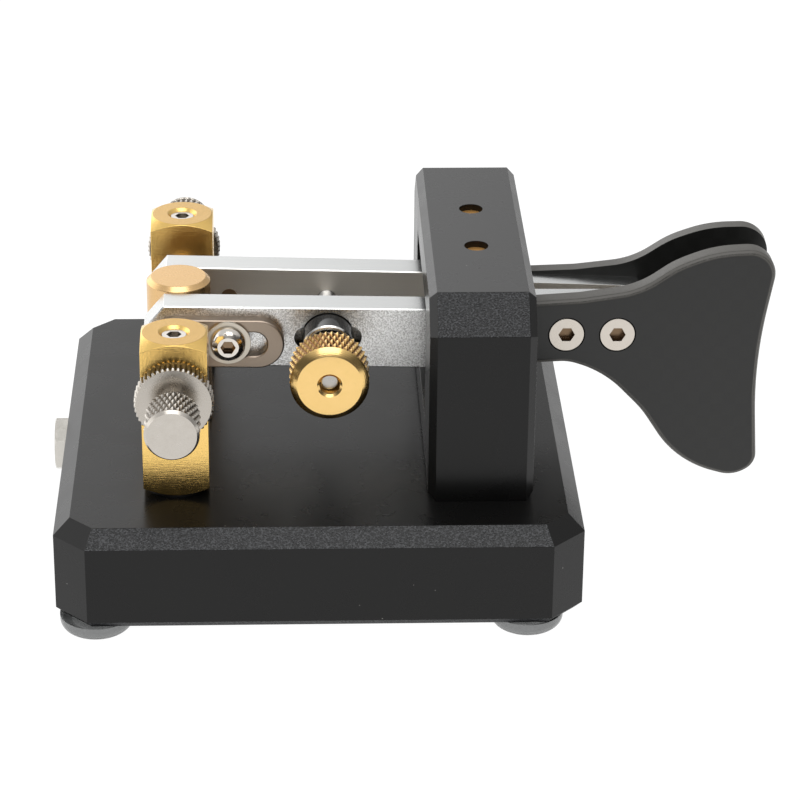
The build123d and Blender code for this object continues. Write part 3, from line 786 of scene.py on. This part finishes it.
def build_spring():
    node = "tension_spring"
    x, z = axis_of(node)
    low, high = y_span(node, 1)
    wire, mean, turns, eased_share = 0.28, 2.35, 7.0, 0.09
    # room at the cup's floor for the front lever's small swing
    cup_gap, washer_gap = 0.4, 0.03
    start = low + cup_gap + wire
    end = high - washer_gap - wire
    sides, steps = 12, 260
    verts, faces = [], []
    for i in range(steps + 1):
        share = i / steps
        # the end coils lie closed, as on a ground compression spring
        eased = share - math.sin(2 * math.pi * share) * eased_share
        angle = turns * 2 * math.pi * share
        outward = Vector((math.cos(angle), math.sin(angle), 0))
        centre = outward * mean + Vector((0, 0, start + (end - start) * eased))
        for side in range(sides):
            around = 2 * math.pi * side / sides
            point = centre + outward * wire * math.cos(around) + Vector((0, 0, wire * math.sin(around)))
            verts.append(tuple(point * MM))
    for i in range(steps):
        near, far = i * sides, (i + 1) * sides
        for side in range(sides):
            after = (side + 1) % sides
            faces.append((near + side, near + after, far + after, far + side))
    faces.append(tuple(range(sides)))
    faces.append(tuple(range(steps * sides, (steps + 1) * sides)))
    obj = add_object(node + "_shown", outward_mesh(node, verts, faces), along_y(x, z, 1))
    finish_piece(obj, node, "spring", sharp_deg=60, rides=False)
    # the coils close up or open out as the knob moves its washer along the stud
    cup_end = Vector((x, -low, z)) * MM
    washer_end = Vector((x, -high, z)) * MM
    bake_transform(obj, "rear_lever", "spring_washer", cup_end, washer_end)


for side in (1, -1):
    build_contact_screw(side)
    build_lock_nut(side)
build_tension_knob()
build_tension_stud()
build_spring()


# ------------------------------------------------------------------ parts refined from the CAD

FRONT_BAR, REAR_BAR = (lever_frame(side, BAR_SPLAY_DEG) for side in (1, -1))
FRONT_ARM, REAR_ARM = (lever_frame(side, ARM_SPLAY_DEG) for side in (1, -1))


def centred(node):
    """Frame upright at the middle of a node, for parts turned about Z."""
    low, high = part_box(node)
    return Matrix.Translation(Vector(((low.x + high.x) / 2, (low.y + high.y) / 2, low.z)))


refine("base", "base", 0.12)
refine("bridge", "bridge", 0.10)
refine("front_lever", "front_lever", 0.06, FRONT_BAR)
refine("rear_lever", "rear_lever", 0.06, REAR_BAR)
refine("front_contact_plate", "contact_plate", 0.08, FRONT_BAR)
refine("rear_contact_plate", "contact_plate", 0.08, REAR_BAR)
refine("front_finger_plate", "carbon", 0.0, FRONT_ARM)
refine("rear_finger_plate", "carbon", 0.0, REAR_ARM)
refine("front_plate_screw", "front_button_screw", 0.04, FRONT_BAR)
refine("rear_plate_screw", "rear_button_screw", 0.04, REAR_BAR)
refine("front_finger_screws", "front_finger_screw", 0.04, FRONT_ARM)
refine("rear_finger_screws", "rear_finger_screw", 0.04, REAR_ARM)
refine("front_contact_post", "brass_milled", 0.07, centred("front_contact_post"))
refine("rear_contact_post", "brass_milled", 0.07, centred("rear_contact_post"))
refine("rest_post", "brass_post", 0.06, centred("rest_post"))
refine("rubber_feet", "rubber")
refine("jack_nut", "bright_nickel", 0.06)
refine("jack_body", "black_plastic", 0.06)
refine("spring_cup", "cup", 0.05, along_y(*axis_of("spring_cup"), 1))
for node, look, bevel in (
    ("front_plate_washer", "nickel", 0.05), ("rear_plate_washer", "nickel", 0.05),
    ("front_contact_tip", "silver", 0.03), ("rear_contact_tip", "silver", 0.03),
    ("post_set_screws", "steel", 0.04), ("post_insulators", "black_plastic", 0.03),
    ("shoulder_bushes", "black_plastic", 0.05), ("post_mounting_screws", "steel", 0.06),
    ("bridge_screws", "black_steel", 0.06), ("upper_pivot_screws", "brass_pivot", 0.05),
    ("lower_pivot_screws", "brass_milled", 0.05), ("solder_lugs", "tinned", 0.04),
    ("jack_tags", "tinned", 0.03), ("spring_washer", "steel", 0.03),
    ("front_post_wire", "wire", 0.0), ("rear_post_wire", "wire", 0.0), ("common_wire", "wire", 0.0),
):
    refine(node, look, bevel)


# ------------------------------------------------------------------ floor, light and camera

# Brightness of the studio's surroundings
WORLD_LEFT = 1.9
WORLD_RIGHT = 0.54
WORLD_FRONT = 0.12
WORLD_CEILING = 0.78


def add_floor():
    mesh = bpy.data.meshes.new("floor")
    half = 3.0
    corners = [(-half, -half, 0), (half, -half, 0), (half, half, 0), (-half, half, 0)]
    mesh.from_pydata(corners, [], [(0, 1, 2, 3)])
    floor = bpy.data.objects.new("floor", mesh)
    bpy.context.scene.collection.objects.link(floor)
    mesh.materials.append(floor_paper("floor_paper"))


def add_softbox():
    """Square lamp above and in front of the key, aimed at its deck."""
    place = Vector((0.0, -0.35, 0.75))
    aim = Vector((0, 0, 0.02))
    light = bpy.data.lights.new("softbox", "AREA")
    light.shape = "RECTANGLE"
    light.size = 0.6
    light.size_y = 0.6
    light.energy = 2.3
    obj = bpy.data.objects.new("softbox", light)
    bpy.context.scene.collection.objects.link(obj)
    obj.location = place
    obj.rotation_mode = "QUATERNION"
    obj.rotation_quaternion = (aim - place).to_track_quat("-Z", "Y")


def add_world():
    """Studio walls and ceiling: bright behind on the left, darker on the right, dark in front."""
    world = bpy.data.worlds.new("studio")
    bpy.context.scene.world = world
    world.use_nodes = True
    tree = world.node_tree

    def ramp(value, low, high, to_low, to_high):
        node = tree.nodes.new("ShaderNodeMapRange")
        node.interpolation_type = "SMOOTHSTEP"
        tree.links.new(value, node.inputs["Value"])
        ends = {"From Min": low, "From Max": high, "To Min": to_low, "To Max": to_high}
        for key, number in ends.items():
            socket = node.inputs[key]
            if isinstance(number, bpy.types.NodeSocket):
                tree.links.new(number, socket)
            else:
                socket.default_value = number
        return node.outputs["Result"]

    split = tree.nodes.new("ShaderNodeSeparateXYZ")
    coords = tree.nodes.new("ShaderNodeTexCoord")
    tree.links.new(coords.outputs["Generated"], split.inputs[0])
    horizon = ramp(split.outputs["X"], -0.30, 0.22, WORLD_LEFT, WORLD_RIGHT)
    around = ramp(split.outputs["Y"], -0.30, 0.15, WORLD_FRONT, horizon)
    level = ramp(split.outputs["Z"], 0.40, 0.80, around, WORLD_CEILING)
    background = tree.nodes["Background"]
    background.inputs["Color"].default_value = (1.0, 1.0, 1.0, 1.0)
    tree.links.new(level, background.inputs["Strength"])


def add_camera():
    """The viewing angle that the key is shown from: slightly left of its front and well above it."""
    pitch, yaw, roll = 0.4545, -0.0409, -0.0106
    position = Vector((-0.01950, -0.44533, 0.23904))
    right = Vector((math.cos(yaw), math.sin(yaw), 0))
    ahead = Vector((-math.sin(yaw), math.cos(yaw), 0))
    up = math.sin(pitch) * ahead + Vector((0, 0, math.cos(pitch)))
    forward = math.cos(pitch) * ahead - Vector((0, 0, math.sin(pitch)))
    side = math.cos(roll) * right - math.sin(roll) * up
    top = math.sin(roll) * right + math.cos(roll) * up
    camera = bpy.data.cameras.new("camera")
    camera.sensor_width = 36.0
    camera.lens = 139.58
    camera.clip_start = 0.01
    camera.clip_end = 20.0
    obj = bpy.data.objects.new("camera", camera)
    bpy.context.scene.collection.objects.link(obj)
    rotation = Matrix((side, top, -forward)).transposed()
    obj.matrix_world = Matrix.Translation(position) @ rotation.to_4x4()
    bpy.context.scene.camera = obj


add_floor()
add_softbox()
add_world()
add_camera()
bpy.context.scene.view_settings.view_transform = "Standard"
